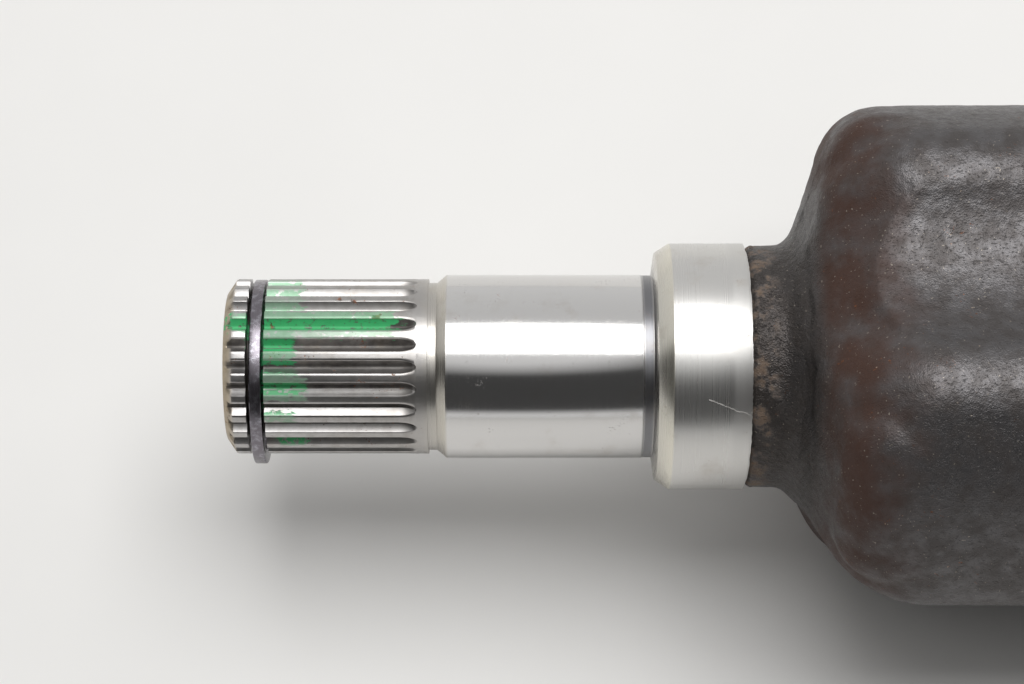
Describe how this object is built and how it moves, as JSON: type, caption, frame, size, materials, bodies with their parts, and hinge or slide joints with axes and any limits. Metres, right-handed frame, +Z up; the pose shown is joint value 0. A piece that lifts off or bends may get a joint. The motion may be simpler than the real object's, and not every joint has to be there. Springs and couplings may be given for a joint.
{
  "type": "axle shaft",
  "caption": "Car half shaft: splined gearbox stub with bearing journal and seal collar, forged tripod housing, solid bar, bellows boots and a caged ball joint with a splined wheel stub.",
  "frame": {"origin": "on the shaft's axis, in the middle of the ground collar that the gearbox oil seal runs on", "axes": "+X along the shaft towards the wheel, +Z up as the shaft lies, with one lobe of the housing straight down"},
  "size_m": [0.5534, 0.085, 0.085],
  "materials": {
    "forged_steel": "rough dark forging with ground journal and collar, bright spline with green paint",
    "spring_steel": "dark burnished spring steel",
    "bearing_steel": "ground bearing steel with a film of grease",
    "bar_paint": "thin black paint over turned steel",
    "boot_rubber": "matt black moulded rubber",
    "clamp_steel": "bright rolled band",
    "bell_steel": "dark turned forging with bright spline and thread"
  },
  "bodies": {
    "housing": {"inner_joint_housing": "forged_steel", "stub_snap_ring": "spring_steel", "inner_boot": "boot_rubber", "inner_boot_large_clamp": "clamp_steel"},
    "lower_roller": {"roller_1": "bearing_steel"},
    "bar": {"axle_bar": "bar_paint", "tripod_spider": "bearing_steel", "needle_set_1": "bearing_steel", "needle_set_2": "bearing_steel", "needle_set_3": "bearing_steel", "trunnion_ring_1": "spring_steel", "trunnion_ring_2": "spring_steel", "trunnion_ring_3": "spring_steel", "spider_end_circlip": "spring_steel", "spider_stop_circlip": "spring_steel", "race_end_circlip": "spring_steel", "race_stop_circlip": "spring_steel", "inner_race": "bearing_steel", "inner_boot_small_clamp": "clamp_steel", "outer_boot_small_clamp": "clamp_steel"},
    "rear_roller": {"roller_2": "bearing_steel"},
    "front_roller": {"roller_3": "bearing_steel"},
    "cage": {"ball_cage": "bearing_steel", "ball_1": "bearing_steel", "ball_2": "bearing_steel", "ball_3": "bearing_steel", "ball_4": "bearing_steel", "ball_5": "bearing_steel", "ball_6": "bearing_steel"},
    "bell": {"outer_joint_bell": "bell_steel", "outer_boot": "boot_rubber", "outer_boot_large_clamp": "clamp_steel"}
  },
  "joints": [
    {"name": "plunge", "type": "slide", "parent": "housing", "child": "lower_roller", "axis": [1, 0, 0], "range_m": [-0.012, 0.016], "deforming": ["inner_boot"]},
    {"name": "inner_tilt", "type": "hinge", "parent": "lower_roller", "child": "bar", "pos_m": [0.07, 0, 0], "axis": [0, 0, 1], "range_deg": [-16, 16], "deforming": ["inner_boot"]},
    {"name": "rear_roller_spin", "type": "hinge", "parent": "bar", "child": "rear_roller", "pos_m": [0.07, 0.02252, 0.013], "axis": [0, 0.866, 0.5], "continuous": true},
    {"name": "front_roller_spin", "type": "hinge", "parent": "bar", "child": "front_roller", "pos_m": [0.07, -0.02252, 0.013], "axis": [0, -0.866, 0.5], "continuous": true},
    {"name": "outer_tilt", "type": "hinge", "parent": "bar", "child": "bell", "pos_m": [0.37, 0, 0], "axis": [0, 0, 1], "range_deg": [-40, 40], "deforming": ["outer_boot"]},
    {"name": "cage_tilt", "type": "hinge", "parent": "bar", "child": "cage", "pos_m": [0.37, 0, 0], "axis": [0, 0, 1], "range_deg": [-20, 20]}
  ],
  "couplings": [
    {"joint": "cage_tilt", "follows": "outer_tilt", "ratio": 0.5}
  ]
}
